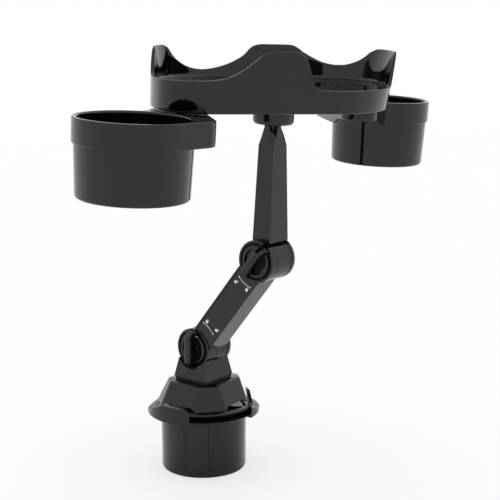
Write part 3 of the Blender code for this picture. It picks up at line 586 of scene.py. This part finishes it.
def makeCap(which, place):
    # a hollow turned cap, with a narrow seam where it meets the barrel
    c = cap
    bore, neck, seamEnd = c["radius"] - c["wall"], c["radius"] - c["seamDepth"], c["seat"] + c["seam"]
    corners = [(0, c["face"] - c["skin"]), (bore, c["face"] - c["skin"]), (bore, c["seat"]), (neck, c["seat"]),
               (neck, seamEnd), (c["radius"], seamEnd), (c["radius"], c["face"]), (0, c["face"])]
    shell = gridPart(alongY(turnedGrid(rounded(corners, c["rounds"], 8))))
    addMesh(which + "_cap_shell", shell, "turret" if which == "lower" else "link", place,
            replaced=(which + "_cap",))


def lockSign(x, z, opened, base, top):
    # the plain sign of a padlock: a rounded body and a round shackle, shut or swung open
    k = lock["size"]
    w, h = lock["bodyHalf"]
    body = plateGrid(roundOutline(x, z - lock["bodyDrop"] * k, w * k, h * k, lock["bodyRound"] * k), base, top)
    t = np.radians(np.linspace(*lock["open" if opened else "shut"]))
    shift = lock["openShift"] if opened else 0.0
    w, h = lock["shackle"]
    path = np.stack([x + k * (shift + w * np.cos(t)), z + k * (lock["shackleRise"] + h * np.sin(t))], axis=1)
    return [body, stripGrid(path, lock["shackleLine"] * k, base, top)]


def makeLinkTrim():
    # beads along the link's two front edges, from barrel to barrel, and the lock scales:
    # an arc about each hinge with a dot at both ends and a padlock sign beside each dot
    t = linkTrim
    half = t["bead"] / 2
    beads = []
    for x in (t["left"] + half, t["right"] - half):
        near = math.sqrt(max(t["barrel"] ** 2 - (abs(x) - half) ** 2, 0))
        z = np.linspace(near, arm["linkLength"] - near, 40)
        beads.append(stripGrid(np.stack([x + 0 * z, z], axis=1), t["bead"], t["front"] + t["sunk"],
                               t["front"] - t["proud"]))
    addMesh("link_edge_beads", merged(beads), "link", linkPlace)
    base, top = t["front"] + t["inkSunk"], t["front"] - t["inkProud"]
    for which, scale in scales.items():
        radius, middle, span = scale["arc"]
        a = np.radians(np.linspace(middle - span, middle + span, 36))
        path = np.stack([radius * np.sin(a), scale["hinge"] + radius * np.cos(a)], axis=1)
        parts = [stripGrid(path, t["inkWidth"], base, top)]
        parts += [plateGrid(discOutline(*path[i], t["dotR"]), base, top) for i in (0, -1)]
        for x, z, opened in scale["signs"]:
            parts += lockSign(x, z, opened, base, top)
        addMesh(which + "_lock_scale", merged(parts), "link", linkPlace, "ink")


for which, place in (("lower", lowerHinge), ("upper", linkEnd)):
    makeKnob(which, place)
    makeCap(which, place)
makeLinkTrim()
print("stage: knobs, caps and link trim made")


# collar: runs are (heading in degrees, value); the outer edge's height goes from a low
# wing up to the block, past the slot, and down to the other wing
collar = {"topRun": ((0, 0.0516), (165, 0.0516), (172, 0.0530), (197.98, 0.0622), (198.02, 0.0628), (226, 0.0628),
                     (232, 0.0592), (303.98, 0.0592), (304.02, 0.0580), (331, 0.0516), (360, 0.0516)),
          "radiusRun": ((0, 0.0460), (25, 0.0448), (145, 0.0448), (162, 0.0473), (220, 0.0473), (232, 0.0456),
                        (232.02, 0.0473), (338, 0.0473), (360, 0.0460)),
          "blockStart": 198.0, "slotStart": 232.0, "slotEnd": 304.0, "inner": 0.0400, "bore": 0.0124, "web": 0.0510,
          "webTop": 0.0535, "under": 0.0380, "underTop": 0.0499, "underFlare": 0.0005, "low": 0.0488, "edge": 0.0004,
          "lipRadius": 0.0448, "lipLow": 0.0499, "lipTop": 0.0584, "slotLow": 0.0511, "slotTop": 0.0567,
          "slotDepth": 0.0403, "slotRoof": 0.0430}
tab = {"heading": 350.0, "span": 9.0, "low": 0.0505, "leanFrom": 0.0535, "top": 0.0641, "round": 0.0012,
       "lowInner": 0.0402, "topInner": 0.0372, "lowThickness": 0.0024, "thickness": 0.0022, "tip": 0.0002}
# skirt: a flat is (distance from the axis at the bottom, at the top), by 45 degrees
skirt = {"heading": -58.9, "low": 0.0572, "top": 0.0765, "wall": 0.0025, "edge": 0.0004, "raised": 0.0026,
         "raisedHalf": 24.0, "raisedRun": 7.0, "tube": 0.0120, "tubeBore": 0.0095, "tubeFloor": 0.0620,
         "softness": 44.0,
         "flats": ((0.0345, 0.0250), (0.0361, 0.0303), (0.0345, 0.0250), (0.0361, 0.0283),
                   (0.0345, 0.0250), (0.0380, 0.0290), (0.0345, 0.0250), (0.0361, 0.0283))}


def makeCollar():
    # one cross section, (r, z) with both a function of the heading, carried round the axis
    c = collar
    step = 0.02  # headings this close to a break keep its face upright
    marks = [c["blockStart"], c["slotStart"], c["slotEnd"]]
    t = np.sort(np.concatenate([np.arange(0, 360, 0.5)] + [[m - step, m + step] for m in marks]))
    slot = (t > c["slotStart"]) & (t < c["slotEnd"])
    top = np.where(slot, c["lipTop"], np.interp(t, *zip(*c["topRun"])))
    radius = np.where(slot, c["lipRadius"], np.interp(t, *zip(*c["radiusRun"])))
    low = np.where(slot, c["lipLow"], c["low"])
    depth = np.where(slot, c["slotDepth"], radius)
    roof = np.where(slot, c["slotRoof"], radius)
    # away from the slot its two rows lie on the plain wall, at these shares of its height
    slotLow = np.where(slot, c["slotLow"], low + 0.4 * (top - low))
    slotTop = np.where(slot, c["slotTop"], low + 0.7 * (top - low))
    e = c["edge"]
    webTop = np.minimum(c["webTop"], top - 2 * e)
    profile = [(c["bore"], c["web"]), (c["under"], c["web"]), (c["under"], c["underTop"]),
               (c["under"] + c["underFlare"], low), (radius - e, low), (radius, low + e), (radius, slotLow),
               (depth, slotLow), (roof, slotTop), (radius, slotTop), (radius, top - e),
               (radius - 0.3 * e, top - 0.3 * e), (radius - e, top), (c["inner"] + e, top), (c["inner"], top - e),
               (c["inner"], webTop), (c["bore"], webTop)]
    a = np.radians(t)
    grid = np.array([np.stack([r * np.cos(a), r * np.sin(a), z + 0 * a], axis=1) for r, z in profile])

    # the tab: a short post that leans in beside the skirt, with a round top
    arc = np.linspace(0, quarterTurn, 6)
    z = np.concatenate([[tab["low"]], tab["top"] - tab["round"] + tab["round"] * np.sin(arc)])
    near = np.interp(z, (tab["leanFrom"], tab["top"]), (tab["lowInner"], tab["topInner"]))
    far = near + np.concatenate([[tab["lowThickness"]], tab["thickness"] * np.cos(arc) + tab["tip"]])
    start, end = np.radians([tab["heading"] - tab["span"] / 2, tab["heading"] + tab["span"] / 2])
    loop = [(near, start), (far, start), (far, end), (near, end)]
    post = np.array([np.stack([r * math.cos(h), r * math.sin(h), z], axis=1) for r, h in loop]).transpose(1, 0, 2)
    parts = [gridPart(grid, wrapRows=True), gridPart(closedEnds(post))]
    addMesh("collar_ring", merged(parts), "collar", None, "blackAbs", ("twist_collar",), 30)


def makeSkirt(count=720):
    # a wall round the axis whose reach is a soft least of flat / cos(angle to it), as the
    # power mean of all eight flats, which draw in with height
    s = skirt
    t = np.linspace(0, 2 * math.pi, count, endpoint=False)
    facing = np.radians(s["heading"]) + np.arange(8) * math.pi / 4
    flats = np.array(s["flats"])
    # the lower edge stands higher under the four broad flats
    off = (np.degrees(t) - s["heading"] + 45) % 90 - 45
    low = s["low"] + s["raised"] * ease((s["raisedHalf"] - np.abs(off)) / s["raisedRun"])

    def reachAt(f):
        span = flats[:, 0] + (flats[:, 1] - flats[:, 0]) * f[:, None]
        share = np.maximum(np.cos(t[:, None] - facing[None, :]), 0.0) / span
        return (share ** s["softness"]).sum(axis=1) ** (-1 / s["softness"])

    def row(f, inset=0.0, drop=0.0):
        z = low + (s["top"] - low) * f - drop
        r = reachAt((z - s["low"]) / (s["top"] - s["low"])) - inset
        return np.stack([r * np.cos(t), r * np.sin(t), z], axis=1)

    def circle(r, z):
        return np.stack([r * np.cos(t), r * np.sin(t), z + 0 * t], axis=1)

    rows = [row(0.0, s["wall"]), row(0.0, s["edge"])]
    rows += [row(f) for f in np.linspace(0.02, 0.985, 16)]
    rows += [row(1.0, s["edge"]), circle(s["tubeBore"], s["top"]), circle(s["tubeBore"], s["tubeFloor"]),
             circle(s["tube"], s["tubeFloor"]), circle(s["tube"], s["top"] - s["wall"]), row(1.0, s["wall"], s["wall"])]
    addMesh("skirt_shell", gridPart(np.array(rows), wrapRows=True), "base", None, replaced=("base_skirt",), sharp=34)


makeCollar()
makeSkirt()
print("stage: collar and skirt made")


# the upper arm's copy; heights and distances from the upper hinge's axis
column = {"low": 0.0149, "clear": 0.0180, "high": 0.1000, "barrel": 0.0172, "deeper": 0.0040, "narrower": 0.0010,
          "rightOf": 0.0020, "behind": 0.0090, "blockTop": 0.0225, "crown": 0.1042, "crownBand": 0.0002,
          "crownBore": 0.0046, "crownWider": 1.35, "crownHigher": 0.0020}
keptSolids = {"base_cup": "base", "expansion_pad_a": "pad_a", "expansion_pad_b": "pad_b", "expansion_pad_c": "pad_c",
              "pyramid_mount": "turret", "lower_link": "link", "upper_arm": "column", "swivel_hub": "column"}


def dressNodes():
    for name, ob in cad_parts.items():
        metal = name.endswith(("screw", "washer", "nut", "bolt", "pin"))
        for slot in ob.material_slots:
            slot.link = 'OBJECT'
            slot.material = finish["zinc" if metal else "blackAbs"]


def deepened(points):
    # the upper arm's right side drawn in a little, its back drawn out and its crown raised
    c = column
    place = np.array(columnPlace)
    q = (points - place[:3, 3]) @ place[:3, :3]
    shaft = (q[:, 2] > c["low"]) & (q[:, 2] < c["high"]) & (np.hypot(q[:, 0], q[:, 2]) > c["barrel"])
    q[shaft & (q[:, 0] > c["rightOf"]) & (q[:, 2] > c["clear"]), 0] -= c["narrower"]
    behind = (q[:, 1] > c["behind"]) | ((q[:, 1] > 0.0) & (q[:, 2] > c["blockTop"]))
    q[shaft & behind, 1] += c["deeper"]
    crown = (np.abs(q[:, 2] - c["crown"]) < c["crownBand"]) & (np.hypot(q[:, 0], q[:, 1]) > c["crownBore"])
    q[crown, :2] *= c["crownWider"]
    q[crown, 2] += c["crownHigher"]
    return q @ place[:3, :3].T + place[:3, 3]


def smoothCopy(name, body):
    # the node's loose triangles welded together, so that its round faces shade smoothly
    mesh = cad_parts[name].data
    points = np.empty(len(mesh.vertices) * 3)
    mesh.vertices.foreach_get("co", points)
    corners = np.empty(len(mesh.loops), dtype=np.int64)
    mesh.loops.foreach_get("vertex_index", corners)
    key = np.round(points.reshape(-1, 3) * 1e6).astype(np.int64)
    _, first, inverse = np.unique(key, axis=0, return_index=True, return_inverse=True)
    faces = inverse.reshape(-1)[corners].reshape(-1, 3)
    good = (faces[:, 0] != faces[:, 1]) & (faces[:, 1] != faces[:, 2]) & (faces[:, 2] != faces[:, 0])
    points = points.reshape(-1, 3)[first]
    if name == "upper_arm":
        points = deepened(points)
    addMesh(name + "_skin", (points, faces[good].tolist()), body, None, "blackAbs", (name,), 32)


dressNodes()
for name, body in keptSolids.items():
    smoothCopy(name, body)
print("stage: solids dressed")


# floor, light and camera; the camera looks along (headingX, headingY), down by the pitch
studio = {"floorSize": 6.0, "floorColour": "#FEFEFE", "paperWhite": 0.62, "cameraSpot": (-0.3624, -0.8526, 0.3596),
          "headingX": 0.430, "headingY": 0.903, "pitch": 10.62, "lens": 81.86, "sensor": 36, "nearest": 0.01}


def makeStage():
    half = studio["floorSize"] / 2
    mesh = bpy.data.meshes.new("floor")
    mesh.from_pydata([(-half, -half, 0), (half, -half, 0), (half, half, 0), (-half, half, 0)], [], [(0, 1, 2, 3)])
    floor = bpy.data.objects.new("floor", mesh)
    bpy.context.scene.collection.objects.link(floor)
    mat, tree, shader = newMaterial("pale studio paper")
    shader.inputs["Base Color"].default_value = srgb(studio["floorColour"])
    shader.inputs["Roughness"].default_value = 0.9
    shader.inputs["Specular IOR Level"].default_value = 0.0
    # what the camera sees is lifted part of the way to white, and keeps a softened shadow
    glow = node(tree, 'ShaderNodeEmission', {"Color": (1, 1, 1, 1), "Strength": 1.0})
    seen = node(tree, 'ShaderNodeLightPath')
    share = node(tree, 'ShaderNodeMath', {"operation": 'MULTIPLY', 1: studio["paperWhite"]},
                 {0: seen.outputs["Is Camera Ray"]})
    both = node(tree, 'ShaderNodeMixShader', None, {0: share.outputs[0], 1: shader.outputs[0], 2: glow.outputs[0]})
    join(tree, tree.nodes["Material Output"], {"Surface": both.outputs[0]})
    mesh.materials.append(mat)
    world = bpy.data.worlds.new("white studio")
    bpy.context.scene.world = world
    world.use_nodes = True
    world.node_tree.nodes["Background"].inputs["Color"].default_value = (1, 1, 1, 1)
    world.node_tree.nodes["Background"].inputs["Strength"].default_value = 1.0


def makeCamera():
    p = math.radians(studio["pitch"])
    look = Vector((studio["headingX"] * math.cos(p), studio["headingY"] * math.cos(p), -math.sin(p)))
    cam = bpy.data.objects.new("camera", bpy.data.cameras.new("camera"))
    cam.location = studio["cameraSpot"]
    cam.rotation_euler = look.to_track_quat('-Z', 'Y').to_euler()
    cam.data.lens = studio["lens"]
    cam.data.sensor_width = studio["sensor"]
    cam.data.clip_start = studio["nearest"]
    bpy.context.scene.collection.objects.link(cam)
    bpy.context.scene.camera = cam


makeStage()
makeCamera()
bpy.context.scene.view_settings.view_transform = 'Standard'
print("stage: scene finished")
